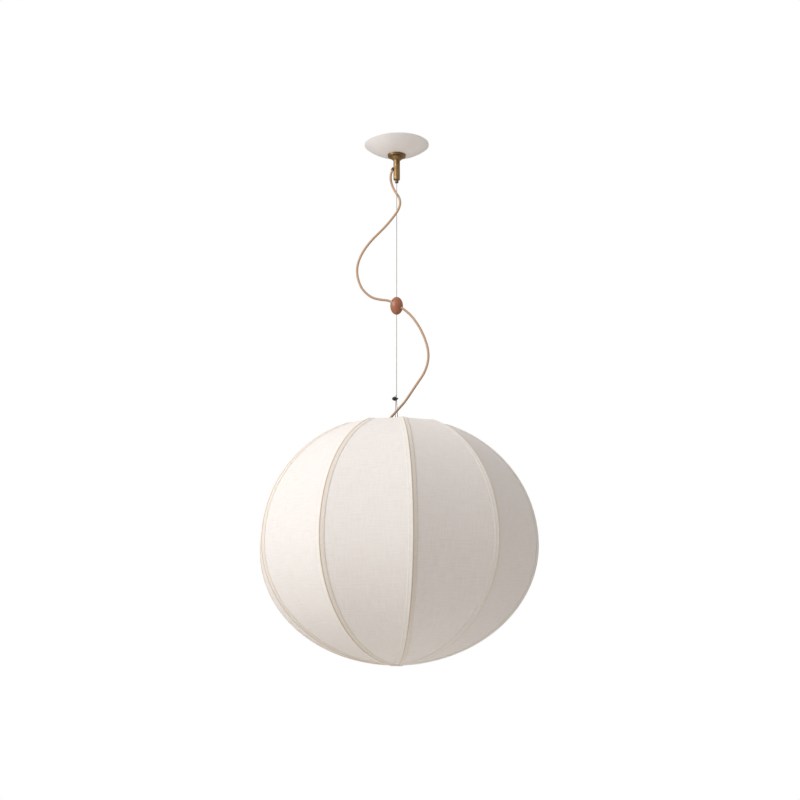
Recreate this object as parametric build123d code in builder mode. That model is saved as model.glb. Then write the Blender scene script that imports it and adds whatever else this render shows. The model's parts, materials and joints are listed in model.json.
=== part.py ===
from build123d import *

import math
import os

# Globe pendant lamp, in millimetres. The origin is the centre of the ceiling plane, +Z is up and
# -Y is the front, so everything hangs below z = 0. Angles are degrees from +X, seen from above.

# --- Driving dimensions ------------------------------------------------------------------------

# Shade: ten flat-woven gores stretched over bent steel ribs
rib_count = 10
first_rib_angle = -84.0
shade_radius = 300.0
equator_z = -903.0
upper_height = 278.0
lower_height = 245.0
mouth_radius = 111.0
base_radius = 12.0
panel_thickness = 1.0
panel_seam_gap = 0.15
tape_thickness = 0.9
tape_half_width = 10.0
tape_clearance = 0.15
rib_wire = 3.0
rib_clearance = 0.3

# Top ring and spider
ring_wire = 4.0
ring_radius = 113.0
arm_count = 3
first_arm_angle = 0.0
arm_wire = 4.0
arm_seat_gap = 0.4
hub_radius = 22.0
hub_thickness = 6.0
hub_top_z = -652.0

# Foot of the shade
foot_hub_radius = 16.0
foot_hub_thickness = 4.0
foot_hub_round = 1.0
button_radius = 13.5
button_thickness = 1.6
button_round = 1.2
button_stem_radius = 2.5

# Canopy and its fixings
canopy_radius = 72.0
canopy_depth = 25.0
canopy_sheet = 1.2
canopy_lip = 1.8
canopy_land_width = 2.0
canopy_bulge = 3.5
socket_hole_gap = 0.2
crossbar_length = 100.0
crossbar_width = 16.0
crossbar_thickness = 2.5
crossbar_corner = 3.0
screw_spacing = 76.0
screw_slot_width = 4.4
screw_slot_length = 8.0
earth_screw_x = 20.0
earth_screw_radius = 2.0
earth_head_radius = 4.0
earth_head_height = 2.4
earth_head_round = 0.8
earth_slot = 1.0
nipple_radius = 5.0
nipple_bore = 3.5
nipple_recess = 0.4
nipple_engagement = 1.5
nut_across_flats = 14.0
nut_thickness = 3.0
terminal_gap = 3.0
terminal_length = 30.0
terminal_width = 14.0
terminal_height = 11.5
terminal_pitch = 9.0
terminal_corner = 1.5
terminal_hole_radius = 1.9
terminal_screw_radius = 1.75
terminal_screw_recess = 1.2
terminal_screw_length = 2.4
terminal_slot_width = 0.6
terminal_slot_depth = 0.7

# Ball swivel
ball_radius = 13.15
ball_clearance = 0.05
ball_flat_depth = 4.15
socket_wall = 1.8
socket_roof = 3.3
socket_lip_drop = 2.5
flange_width = 5.0
flange_round = 1.6
boss_radius = 9.0
boss_height = 3.0
boss_gap = 2.45
spigot_radius = 4.97
spigot_end_z = -52.0

# Cable gripper
stem_radius = 7.25
stem_bore = 5.02
stem_end_z = -84.0
stem_web_top_z = -64.5
stem_round = 1.2
grip_chamber_top_z = -67.0
grip_chamber_radius = 5.4
grip_lip_thickness = 4.0
grip_cone_length = 6.0
grip_ball_radius = 1.2
grip_ball_gap = 0.03
grip_cone_gap = 0.1
grip_cone_slope = 0.4
plunger_radius = 4.1
plunger_shoulder_radius = 5.3
plunger_shoulder_length = 2.9
plunger_nose_radius = 2.4
plunger_tip_z = -91.5
plunger_travel = 1.7
plunger_round = 2.0
spring_wire = 0.7
spring_radius = 4.4
spring_turns = 3
set_screw_z = -48.5
set_screw_radius = 1.5
set_screw_angle = 215.0
set_screw_gap = 0.15
set_screw_floor = 1.0

# Steel suspension wire, its loop and its clip
wire_radius = 0.75
wire_clearance = 0.25
wire_top_z = -60.0
wire_stop_radius = 1.6
wire_stop_length = 4.0
wire_stop_round = 0.4
loop_start_z = -590.0
loop_bend_radius = 60.0
tail_end_z = -575.0
wire_pitch = 1.6
clip_z = -583.0
clip_height = 7.5
clip_width = 12.0
saddle_thickness = 3.2
saddle_corner = 1.5
bolt_radius = 1.5
bolt_half_pitch = 3.2
bolt_end_length = 1.6
clip_nut_flats = 5.5
clip_nut_thickness = 2.4

# Wooden bead that gathers the cord to the wire
bead_z = -375.0
bead_radius = 14.0
bead_half_height = 20.0
bead_cord_front = 7.0
bead_cord_fall = 31.0
bead_cord_clearance = 1.1
bead_run = 20.0

# Hanger between the wire loop and the spider
pin_z = -640.0
pin_radius = 2.5
pin_fit = 0.05
pin_head_radius = 4.0
pin_head_thickness = 1.5
pin_head_round = 0.6
yoke_gap = 20.0
yoke_sheet = 2.0
yoke_width = 13.0
yoke_ear_radius = 6.5

# Lampholder and bulb
holder_radius = 22.0
holder_wall = 2.0
holder_cap_length = 28.0
holder_shell_length = 30.0
holder_round = 1.5
holder_nipple_top_z = -646.5
holder_nipple_end = 1.0
insert_radius = 19.0
insert_thickness = 6.0
insert_step = 2.0
insert_hole_circle = 13.64
insert_hole_radius = 2.0
bulb_cap_radius = 13.2
bulb_cap_length = 24.0
bulb_pip_radius = 4.5
bulb_pip_height = 3.0
bulb_shoulder_radius = 7.0
bulb_shoulder_height = 4.5
bulb_seat_gap = 0.3
bulb_neck_flare = 0.3
bulb_neck_length = 8.0
bulb_neck_angle = 48.0
bulb_fit = 0.05
contact_sheet = 0.6
contact_end_gap = 4.0
bulb_radius = 30.0
bulb_length = 108.0

# Textile cord
cord_radius = 2.7
cord_exit = (-9.5, 0.0, -60.0)
cord_exit_slant = 30.0
cord_tucked = 4.0
grommet_wall = 0.65
grommet_inside = 5.0
grommet_rim_width = 0.4
grommet_rim_thickness = 0.9
grommet_rim_round = 0.35
gland_offset = 14.0
gland_clearance = 1.1
gland_wall = 1.3
gland_top_wall = 0.6
gland_height = 3.0
clip_pass = (18.5, -8.5, -591.0)
loop_pass = (-3.0, -8.5, -615.2)
split_share = 0.55

fit_gap = 0.05

os.makedirs("parts", exist_ok=True)


# --- Shared geometry ---------------------------------------------------------------------------


def radial(angle, radius, z=0.0):
    """A point at a polar angle, radius and height."""
    turn = math.radians(angle)
    return Vector(radius * math.cos(turn), radius * math.sin(turn), z)


def radial_plane(angle):
    """The upright plane through the lamp's axis, its x axis pointing out at an angle."""
    return Plane(origin=(0, 0, 0), x_dir=radial(angle, 1), z_dir=radial(angle - 90, 1))


def side_plane(angle, distance):
    """An upright plane through or beside the axis; what lies anticlockwise of it is its top."""
    normal = radial(angle + 90, 1)
    return Plane(origin=normal * distance, z_dir=normal)


class Outline:
    """The shade's outline in an upright plane: an upper and a lower quarter ellipse on one equator."""

    def __init__(self, squeeze, inset):
        self.squeeze = squeeze
        self.radius = shade_radius * squeeze - inset
        self.upper = upper_height - inset
        self.lower = lower_height - inset

    def height_at(self, radius, height):
        """Distance from the equator's level to the outline at a radius."""
        return height * math.sqrt(1 - (radius / self.radius) ** 2)

    def lift(self, radius, height, thickness):
        """Vertical measure of a thickness that lies square to the outline at a radius."""
        slope = height * radius / self.radius**2 / math.sqrt(1 - (radius / self.radius) ** 2)
        return thickness * math.sqrt(1 + slope**2)

    def draw(self, depth=0.0):
        """Draw the outline from foot to mouth in the open BuildLine, and give both ends."""
        reach = self.radius - depth
        foot_angle = math.degrees(math.acos(base_radius * self.squeeze / self.radius))
        mouth_angle = math.degrees(math.acos(mouth_radius * self.squeeze / self.radius))
        centre = (0, equator_z)
        below = EllipticalCenterArc(centre, reach, self.lower - depth, -foot_angle, arc_size=foot_angle)
        above = EllipticalCenterArc(centre, reach, self.upper - depth, 0, arc_size=mouth_angle)
        return below @ 0, above @ 1


half_gore = 180.0 / rib_count
gore_squeeze = math.cos(math.radians(half_gore))
gore = Outline(gore_squeeze, 0.0)
rib_line = Outline(1.0, rib_clearance + (panel_thickness + 0.5 * rib_wire) / gore_squeeze)
gore_half_width = 1.1 * shade_radius * math.tan(math.radians(half_gore))
rib_angles = [first_rib_angle + 2 * half_gore * k for k in range(rib_count)]
mouth_rib_z = equator_z + rib_line.height_at(ring_radius, rib_line.upper)
ring_z = mouth_rib_z - rib_line.lift(ring_radius, rib_line.upper, 0.5 * (rib_wire + ring_wire)) - 2 * fit_gap


def gore_band(near, far):
    """Draw the closed section of a layer of the gore between two offsets from its outer face."""
    outer_foot, outer_mouth = gore.draw(near)
    inner_foot, inner_mouth = gore.draw(far)
    Line(outer_foot, inner_foot)
    Line(outer_mouth, inner_mouth)


def save(part, name):
    """Label a finished sub-part and write it to its own STEP file."""
    part.label = name
    export_step(part, "parts/" + name + ".step")


# --- Shade -------------------------------------------------------------------------------------

with BuildPart() as panel:
    with BuildSketch(radial_plane(0)):
        with BuildLine():
            gore_band(0.0, panel_thickness)
        make_face()
    extrude(amount=gore_half_width, both=True)
    split(bisect_by=side_plane(-half_gore, panel_seam_gap), keep=Keep.TOP)
    split(bisect_by=side_plane(half_gore, -panel_seam_gap), keep=Keep.BOTTOM)
for number, angle in enumerate(rib_angles, start=1):
    save(panel.part.rotate(Axis.Z, angle + half_gore), f"panel_{number:02d}")

# A tape is two strips, one on each gore beside the rib, that meet along the rib's crest.
with BuildPart() as tape:
    with BuildSketch(radial_plane(-half_gore)):
        with BuildLine():
            gore_band(-tape_clearance - tape_thickness, -tape_clearance)
        make_face()
    extrude(amount=gore_half_width, both=True)
    split(bisect_by=side_plane(0, 0), keep=Keep.BOTTOM)
    split(bisect_by=side_plane(0, -tape_half_width), keep=Keep.TOP)
    split(bisect_by=side_plane(-half_gore, panel_seam_gap), keep=Keep.TOP)
    mirror(about=Plane.XZ)
tapes = Compound(children=[tape.part.rotate(Axis.Z, angle) for angle in rib_angles])
save(tapes, "rib_tapes")

with BuildPart() as rib:
    with BuildLine(radial_plane(0)) as rib_path:
        rib_line.draw()
    rib_wire_path = rib_path.wires()[0]
    with BuildSketch(Plane(origin=rib_wire_path @ 0, z_dir=rib_wire_path % 0)):
        Circle(rib_wire / 2)
    sweep(path=rib_wire_path)
ribs = Compound(children=[rib.part.rotate(Axis.Z, angle) for angle in rib_angles])
save(ribs, "ribs")

with BuildPart() as top_ring:
    with BuildSketch(Plane.XZ):
        with Locations((ring_radius, ring_z)):
            Circle(ring_wire / 2)
    revolve(axis=Axis.Z)
save(top_ring.part, "top_ring")

hub_middle_z = hub_top_z - hub_thickness / 2
arm_start = (hub_radius + arm_seat_gap, hub_middle_z)
arm_end = (ring_radius - ring_wire / 2 - fit_gap, ring_z)
with BuildPart() as spider_arms:
    for number in range(arm_count):
        arm_plane = radial_plane(first_arm_angle + 360 * number / arm_count)
        with BuildLine(arm_plane) as arm_path:
            Line(arm_start, arm_end)
        with BuildSketch(Plane(origin=arm_path.line @ 0, z_dir=arm_path.line % 0)):
            Circle(arm_wire / 2)
        sweep(path=arm_path.line)
save(spider_arms.part, "spider_arms")

foot_rib_z = equator_z - rib_line.height_at(foot_hub_radius, rib_line.lower)
foot_hub_z = foot_rib_z + rib_line.lift(foot_hub_radius, rib_line.lower, rib_wire / 2) + fit_gap
with BuildPart() as foot_hub:
    with BuildSketch(Plane.XY.offset(foot_hub_z)):
        Circle(foot_hub_radius)
        Circle(button_stem_radius + fit_gap, mode=Mode.SUBTRACT)
    extrude(amount=foot_hub_thickness)
    fillet(foot_hub.edges().group_by(Axis.Z)[-1].sort_by(SortBy.RADIUS)[-1], foot_hub_round)
save(foot_hub.part, "foot_hub")

button_top_z = equator_z - lower_height - tape_clearance - tape_thickness - fit_gap
with BuildPart() as foot_button:
    with BuildSketch(Plane.XY.offset(button_top_z)):
        Circle(button_radius)
    extrude(amount=-button_thickness)
    fillet(foot_button.edges().group_by(Axis.Z)[0], button_round)
    with BuildSketch(Plane.XY.offset(button_top_z)):
        Circle(button_stem_radius)
    extrude(amount=foot_hub_z + foot_hub_thickness - button_top_z)
save(foot_button.part, "foot_button")

# --- Canopy and ceiling fixings ----------------------------------------------------------------


def bulged(start, end, bulge):
    """The middle point of an arc from start to end that bows out, away from the ceiling."""
    run = Vector(*end) - Vector(*start)
    return (Vector(*start) + Vector(*end)) / 2 + Vector(run.Y, -run.X).normalized() * bulge


socket_radius = ball_radius + ball_clearance + socket_wall
flange_radius = socket_radius + flange_width
canopy_land_radius = flange_radius + canopy_land_width
socket_hole_radius = socket_radius + socket_hole_gap
sheet_mitre = 0.4 * canopy_sheet
lip_start = (canopy_radius, -canopy_lip)
land_edge = (canopy_land_radius, -canopy_depth)
inner_land_edge = (canopy_land_radius - sheet_mitre, -canopy_depth + canopy_sheet)
inner_lip = (canopy_radius - canopy_sheet, -canopy_lip + sheet_mitre)
with BuildPart() as canopy:
    with BuildSketch(Plane.XZ):
        with BuildLine():
            Line((canopy_radius, 0), lip_start)
            ThreePointArc(lip_start, bulged(land_edge, lip_start, canopy_bulge), land_edge)
            Line(land_edge, (socket_hole_radius, -canopy_depth))
            Line((socket_hole_radius, -canopy_depth), (socket_hole_radius, -canopy_depth + canopy_sheet))
            Line((socket_hole_radius, -canopy_depth + canopy_sheet), inner_land_edge)
            ThreePointArc(inner_land_edge, bulged(inner_land_edge, inner_lip, canopy_bulge), inner_lip)
            Line(inner_lip, (canopy_radius - canopy_sheet, 0))
            Line((canopy_radius - canopy_sheet, 0), (canopy_radius, 0))
        make_face()
    revolve(axis=Axis.Z)
save(canopy.part, "canopy")

with BuildPart() as crossbar:
    with BuildSketch():
        Rectangle(crossbar_length, crossbar_width)
        fillet(vertices(), crossbar_corner)
        Circle(nipple_radius + fit_gap, mode=Mode.SUBTRACT)
        with Locations((earth_screw_x, 0)):
            Circle(earth_screw_radius + fit_gap, mode=Mode.SUBTRACT)
        with GridLocations(screw_spacing, 0, 2, 1):
            SlotOverall(screw_slot_length, screw_slot_width, mode=Mode.SUBTRACT)
    extrude(amount=-crossbar_thickness)
save(crossbar.part, "crossbar")

with BuildPart() as earth_screw:
    with BuildSketch(Plane.XY.offset(-crossbar_thickness - fit_gap)):
        with Locations((earth_screw_x, 0)):
            Circle(earth_head_radius)
    extrude(amount=-earth_head_height)
    fillet(earth_screw.edges().group_by(Axis.Z)[0], earth_head_round)
    with BuildSketch(Plane.XY.offset(-crossbar_thickness - fit_gap)):
        with Locations((earth_screw_x, 0)):
            Circle(earth_screw_radius)
    extrude(amount=crossbar_thickness - fit_gap)
    with BuildSketch(Plane.XY.offset(-crossbar_thickness - fit_gap - earth_head_height)):
        with Locations((earth_screw_x, 0)):
            Rectangle(2 * earth_head_radius, earth_slot)
    extrude(amount=earth_slot, mode=Mode.SUBTRACT)
save(earth_screw.part, "earth_screw")

socket_boss_z = -crossbar_thickness - fit_gap - nut_thickness - boss_gap
socket_top_z = socket_boss_z - boss_height
nipple_end_z = socket_top_z - nipple_engagement
with BuildPart() as threaded_nipple:
    with BuildSketch(Plane.XY.offset(-nipple_recess)):
        Circle(nipple_radius)
        Circle(nipple_bore, mode=Mode.SUBTRACT)
    extrude(amount=nipple_end_z + nipple_recess)
save(threaded_nipple.part, "threaded_nipple")

with BuildPart() as locknut:
    with BuildSketch(Plane.XY.offset(-crossbar_thickness - fit_gap)):
        RegularPolygon(nut_across_flats / 2, 6, major_radius=False)
        Circle(nipple_radius + fit_gap, mode=Mode.SUBTRACT)
    extrude(amount=-nut_thickness)
save(locknut.part, "nipple_locknut")

terminal_x = -socket_radius - terminal_gap - terminal_width / 2
terminal_top_z = -crossbar_thickness - fit_gap
with BuildPart() as terminal_block:
    with BuildSketch(Plane.XY.offset(terminal_top_z)):
        with Locations((terminal_x, 0)):
            Rectangle(terminal_width, terminal_length)
            fillet(vertices(), terminal_corner)
    extrude(amount=-terminal_height)
    with BuildSketch(Plane.YZ.offset(terminal_x - terminal_width / 2)):
        with Locations((0, terminal_top_z - terminal_height / 2)):
            with GridLocations(terminal_pitch, 0, 3, 1):
                Circle(terminal_hole_radius)
    extrude(amount=terminal_width, mode=Mode.SUBTRACT)
    with BuildSketch(Plane.XY.offset(terminal_top_z - terminal_height)):
        with Locations((terminal_x, 0)):
            with GridLocations(terminal_width / 2, terminal_pitch, 2, 3):
                Circle(terminal_screw_radius + fit_gap)
    extrude(amount=terminal_height / 2, mode=Mode.SUBTRACT)
save(terminal_block.part, "terminal_block")

with BuildPart() as terminal_screws:
    with BuildSketch(Plane.XY.offset(terminal_top_z - terminal_height + terminal_screw_recess)):
        with Locations((terminal_x, 0)):
            with GridLocations(terminal_width / 2, terminal_pitch, 2, 3):
                Circle(terminal_screw_radius)
    extrude(amount=terminal_screw_length)
    with BuildSketch(Plane.XY.offset(terminal_top_z - terminal_height + terminal_screw_recess)):
        with Locations((terminal_x, 0)):
            with GridLocations(terminal_width / 2, terminal_pitch, 2, 3):
                Rectangle(2 * terminal_screw_radius, terminal_slot_width)
    extrude(amount=terminal_slot_depth, mode=Mode.SUBTRACT)
save(terminal_screws.part, "terminal_screws")

# --- Ball swivel -------------------------------------------------------------------------------

socket_sphere = ball_radius + ball_clearance
ball_centre_z = socket_top_z - socket_roof - socket_sphere
ball_top_z = ball_centre_z + ball_radius - ball_flat_depth
flange_low_z = ball_centre_z - socket_lip_drop


def sphere_x(radius, z):
    """Radius of the swivel sphere's level section at a height."""
    return math.sqrt(radius**2 - (z - ball_centre_z) ** 2)


thread_radius = nipple_radius + fit_gap
thread_end_z = ball_centre_z + math.sqrt(socket_sphere**2 - thread_radius**2)
lip_point = (sphere_x(socket_sphere, flange_low_z), flange_low_z)
with BuildPart() as swivel_socket:
    with BuildSketch(Plane.XZ):
        with BuildLine():
            Polyline(
                lip_point,
                (flange_radius, flange_low_z),
                (flange_radius, -canopy_depth - fit_gap),
                (socket_radius, -canopy_depth - fit_gap),
                (socket_radius, socket_top_z),
                (boss_radius, socket_top_z),
                (boss_radius, socket_boss_z),
                (thread_radius, socket_boss_z),
                (thread_radius, thread_end_z),
            )
            ThreePointArc((thread_radius, thread_end_z), (socket_sphere, ball_centre_z), lip_point)
        make_face()
    revolve(axis=Axis.Z)
    flange_rim = swivel_socket.edges().filter_by(GeomType.CIRCLE).filter_by(
        lambda edge: abs(edge.radius - flange_radius) < 0.01
    )
    fillet(flange_rim.sort_by(Axis.Z)[0], flange_round)
save(swivel_socket.part, "swivel_socket")

neck_z = ball_centre_z - math.sqrt(ball_radius**2 - stem_radius**2)
with BuildPart() as swivel_ball:
    with BuildSketch(Plane.XZ):
        with BuildLine():
            ball_top = (sphere_x(ball_radius, ball_top_z), ball_top_z)
            ThreePointArc(ball_top, (ball_radius, ball_centre_z), (stem_radius, neck_z))
            Polyline(
                (stem_radius, neck_z),
                (spigot_radius, neck_z),
                (spigot_radius, spigot_end_z),
                (nipple_bore, spigot_end_z),
                (nipple_bore, ball_top_z),
                ball_top,
            )
        make_face()
    revolve(axis=Axis.Z)
save(swivel_ball.part, "swivel_ball")

# --- Cable gripper -----------------------------------------------------------------------------

slant = math.radians(cord_exit_slant)
exit_direction = Vector(-math.sin(slant), 0, -math.cos(slant))
exit_plane = Plane(origin=cord_exit, z_dir=exit_direction)
wire_bore = wire_radius + wire_clearance
grip_lip_z = stem_end_z + grip_lip_thickness
grommet_bore = cord_radius + fit_gap
grommet_radius = grommet_bore + grommet_wall
grommet_rim_radius = grommet_radius + grommet_rim_width

with BuildPart() as gripper_stem:
    with BuildSketch(Plane.XZ):
        with BuildLine():
            Polyline(
                (stem_radius, neck_z - fit_gap),
                (stem_radius, stem_end_z),
                (plunger_radius + fit_gap, stem_end_z),
                (plunger_radius + fit_gap, grip_lip_z),
                (grip_chamber_radius, grip_lip_z),
                (grip_chamber_radius, grip_chamber_top_z),
                (wire_bore, grip_chamber_top_z),
                (wire_bore, stem_web_top_z),
                (stem_bore, stem_web_top_z),
                (stem_bore, neck_z - fit_gap),
                close=True,
            )
        make_face()
    revolve(axis=Axis.Z)
    fillet(gripper_stem.edges().group_by(Axis.Z)[0].sort_by(SortBy.RADIUS)[-1], stem_round)
    with BuildSketch(exit_plane):
        Circle(grommet_radius + fit_gap)
    extrude(amount=-grommet_inside, mode=Mode.SUBTRACT)
    with BuildSketch(exit_plane.offset(-fit_gap)):
        Circle(grommet_rim_radius + fit_gap)
    extrude(amount=stem_radius, mode=Mode.SUBTRACT)
    with BuildSketch(Plane(origin=(0, 0, set_screw_z), z_dir=radial(set_screw_angle, 1))):
        Circle(set_screw_radius + fit_gap)
    extrude(amount=2 * stem_radius, mode=Mode.SUBTRACT)
save(gripper_stem.part, "gripper_stem")

set_screw_base = radial(set_screw_angle, spigot_radius + set_screw_gap, set_screw_z)
with BuildPart() as set_screw:
    with BuildSketch(Plane(origin=set_screw_base, z_dir=radial(set_screw_angle, 1))):
        Circle(set_screw_radius)
    extrude(amount=stem_radius - spigot_radius - 2 * set_screw_gap)
    with BuildSketch(Plane(origin=set_screw_base, z_dir=radial(set_screw_angle, 1)).offset(set_screw_floor)):
        RegularPolygon(set_screw_radius / 2, 6)
    extrude(amount=stem_radius - spigot_radius, mode=Mode.SUBTRACT)
save(set_screw.part, "set_screw")

with BuildPart() as cord_grommet:
    with BuildSketch(exit_plane.offset(-grommet_inside + fit_gap)):
        Circle(grommet_radius)
        Circle(grommet_bore, mode=Mode.SUBTRACT)
    extrude(amount=grommet_inside - fit_gap)
    with BuildSketch(exit_plane):
        Circle(grommet_rim_radius)
        Circle(grommet_bore, mode=Mode.SUBTRACT)
    extrude(amount=grommet_rim_thickness)
    outer_edges = cord_grommet.edges().group_by(Axis(cord_exit, exit_direction))[-1]
    fillet(outer_edges.sort_by(SortBy.RADIUS)[-1], grommet_rim_round)
save(cord_grommet.part, "cord_grommet")

cone_end_z = grip_chamber_top_z - fit_gap - grip_cone_length
grip_ball_z = (grip_chamber_top_z + cone_end_z) / 2
grip_ball_offset = wire_radius + grip_ball_radius + grip_ball_gap
cone_middle = grip_ball_offset + grip_ball_radius + grip_cone_gap
with BuildPart() as grip_cone:
    with BuildSketch(Plane.XZ):
        with BuildLine():
            Polyline(
                (grip_chamber_radius - fit_gap, cone_end_z),
                (grip_chamber_radius - fit_gap, grip_chamber_top_z - fit_gap),
                (cone_middle - grip_cone_slope, grip_chamber_top_z - fit_gap),
                (cone_middle + grip_cone_slope, cone_end_z),
                close=True,
            )
        make_face()
    revolve(axis=Axis.Z)
save(grip_cone.part, "grip_cone")

with BuildPart() as grip_balls:
    with Locations((0, 0, grip_ball_z)):
        with PolarLocations(grip_ball_offset, 3):
            Sphere(grip_ball_radius)
save(grip_balls.part, "grip_balls")

shoulder_low_z = grip_lip_z + fit_gap
shoulder_top_z = shoulder_low_z + plunger_shoulder_length
nose_top_z = grip_ball_z - grip_ball_radius - fit_gap - plunger_travel
with BuildPart() as plunger:
    with BuildSketch(Plane.XZ):
        with BuildLine():
            Polyline(
                (wire_bore, plunger_tip_z),
                (plunger_radius, plunger_tip_z),
                (plunger_radius, shoulder_low_z),
                (plunger_shoulder_radius, shoulder_low_z),
                (plunger_shoulder_radius, shoulder_top_z),
                (plunger_nose_radius, shoulder_top_z),
                (plunger_nose_radius, nose_top_z),
                (wire_bore, nose_top_z),
                close=True,
            )
        make_face()
    revolve(axis=Axis.Z)
    fillet(plunger.edges().group_by(Axis.Z)[0].sort_by(SortBy.RADIUS)[-1], plunger_round)
save(plunger.part, "plunger")

spring_low_z = shoulder_top_z + spring_wire / 2 + fit_gap
spring_height = cone_end_z - shoulder_top_z - spring_wire - 2 * fit_gap
with BuildPart() as gripper_spring:
    with BuildLine(Plane.XY.offset(spring_low_z)) as spring_path:
        Helix(pitch=spring_height / spring_turns, height=spring_height, radius=spring_radius)
    with BuildSketch(Plane(origin=spring_path.line @ 0, z_dir=spring_path.line % 0)):
        Circle(spring_wire / 2)
    sweep(path=spring_path.line, is_frenet=True)
save(gripper_spring.part, "gripper_spring")

# --- Suspension wire, clip and bead ------------------------------------------------------------

with BuildPart() as wire_upper:
    with BuildSketch(Plane.XY.offset(bead_z)):
        Circle(wire_radius)
    extrude(amount=wire_top_z - bead_z)
save(wire_upper.part, "wire_upper")

with BuildPart() as wire_stop:
    with BuildSketch(Plane.XY.offset(stem_web_top_z + fit_gap)):
        Circle(wire_stop_radius)
        Circle(wire_radius + fit_gap, mode=Mode.SUBTRACT)
    extrude(amount=wire_stop_length)
    fillet(wire_stop.edges().group_by(Axis.Z)[-1].sort_by(SortBy.RADIUS)[-1], wire_stop_round)
save(wire_stop.part, "wire_stop")


def tangent_angle(point, centre, radius, side):
    """Angle of the point where a line from a point touches a circle, on its right (1) or left (-1)."""
    offset = Vector(*point) - Vector(*centre)
    lean = math.degrees(math.atan2(offset.Y, offset.X))
    return lean - side * math.degrees(math.acos(radius / offset.length))


loop_radius = pin_radius + pin_fit + wire_radius
loop_centre = (0, pin_z)
right_top = (0, loop_start_z)
left_top = (-wire_pitch, loop_start_z)
right_angle = tangent_angle(right_top, loop_centre, loop_radius, 1)
left_angle = tangent_angle(left_top, loop_centre, loop_radius, -1)
with BuildPart() as wire_lower:
    with BuildLine(Plane.XZ) as loop_path:
        around = CenterArc(loop_centre, loop_radius, right_angle, left_angle - 360 - right_angle)
        FilletPolyline((0, bead_z), right_top, around @ 0, radius=loop_bend_radius)
        FilletPolyline(around @ 1, left_top, (-wire_pitch, tail_end_z), radius=loop_bend_radius)
    loop_wire = loop_path.wires()[0]
    with BuildSketch(Plane(origin=loop_wire @ 0, z_dir=loop_wire % 0)):
        Circle(wire_radius)
    sweep(path=loop_wire)
save(wire_lower.part, "wire_lower")

bow_centre_x = wire_radius + fit_gap + bolt_radius - bolt_half_pitch
saddle_right_x = -wire_pitch - wire_radius - fit_gap
saddle_left_x = saddle_right_x - saddle_thickness
nut_left_x = saddle_left_x - fit_gap - clip_nut_thickness
bolt_end_x = nut_left_x - bolt_end_length
with BuildPart() as clip_u_bolt:
    with BuildLine(Plane.XY.offset(clip_z)) as bolt_path:
        Line((bolt_end_x, -bolt_half_pitch), (bow_centre_x, -bolt_half_pitch))
        CenterArc((bow_centre_x, 0), bolt_half_pitch, -90, 180)
        Line((bow_centre_x, bolt_half_pitch), (bolt_end_x, bolt_half_pitch))
    bolt_wire = bolt_path.wires()[0]
    with BuildSketch(Plane(origin=bolt_wire @ 0, z_dir=bolt_wire % 0)):
        Circle(bolt_radius)
    sweep(path=bolt_wire)
save(clip_u_bolt.part, "clip_u_bolt")

with BuildPart() as clip_saddle:
    with BuildSketch(Plane.YZ.offset(saddle_left_x)):
        with Locations((0, clip_z)):
            RectangleRounded(clip_width, clip_height, saddle_corner)
            with GridLocations(2 * bolt_half_pitch, 0, 2, 1):
                Circle(bolt_radius + fit_gap, mode=Mode.SUBTRACT)
    extrude(amount=saddle_thickness)
save(clip_saddle.part, "clip_saddle")

with BuildPart() as clip_nuts:
    with BuildSketch(Plane.YZ.offset(nut_left_x)):
        with Locations((0, clip_z)):
            with GridLocations(2 * bolt_half_pitch, 0, 2, 1):
                RegularPolygon(clip_nut_flats / 2, 6, major_radius=False, rotation=30)
                Circle(bolt_radius + fit_gap, mode=Mode.SUBTRACT)
    extrude(amount=clip_nut_thickness)
save(clip_nuts.part, "clip_nuts")

bead_end = math.degrees(math.acos(wire_bore / bead_radius))
fall = math.radians(bead_cord_fall)
bead_cord_direction = Vector(math.cos(fall), 0, -math.sin(fall))
bead_cord_centre = (0, -bead_cord_front, bead_z)
with BuildPart() as wood_bead:
    with BuildSketch(Plane.XZ):
        with BuildLine():
            side = EllipticalCenterArc(
                (0, bead_z), bead_half_height, bead_radius, bead_end - 90, arc_size=-2 * bead_end, rotation=90
            )
            Line(side @ 1, side @ 0)
        make_face()
    revolve(axis=Axis.Z)
    with BuildSketch(Plane(origin=bead_cord_centre, z_dir=bead_cord_direction)):
        Circle(cord_radius + bead_cord_clearance)
    extrude(amount=2 * bead_half_height, both=True, mode=Mode.SUBTRACT)
save(wood_bead.part, "wood_bead")

# --- Hanger, spider hub and lampholder ---------------------------------------------------------

yoke_base_z = hub_top_z + fit_gap
ear_outer = yoke_gap / 2 + yoke_sheet
gland_bore = cord_radius + gland_clearance
gland_radius = gland_bore + gland_wall
gland_top_radius = gland_bore + gland_top_wall
with BuildPart() as hanger_yoke:
    with BuildSketch(Plane.XY.offset(yoke_base_z)):
        Rectangle(yoke_width, 2 * ear_outer)
        Circle(nipple_radius + fit_gap, mode=Mode.SUBTRACT)
    extrude(amount=yoke_sheet)
    with BuildSketch(Plane.XZ.offset(-ear_outer)):
        with BuildLine():
            Line((-yoke_ear_radius, pin_z), (-yoke_ear_radius, yoke_base_z))
            Line((-yoke_ear_radius, yoke_base_z), (yoke_ear_radius, yoke_base_z))
            Line((yoke_ear_radius, yoke_base_z), (yoke_ear_radius, pin_z))
            CenterArc((0, pin_z), yoke_ear_radius, 0, 180)
        make_face()
        with Locations((0, pin_z)):
            Circle(pin_radius + fit_gap, mode=Mode.SUBTRACT)
    extrude(amount=yoke_sheet)
    mirror(about=Plane.XZ)
save(hanger_yoke.part, "hanger_yoke")

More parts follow.
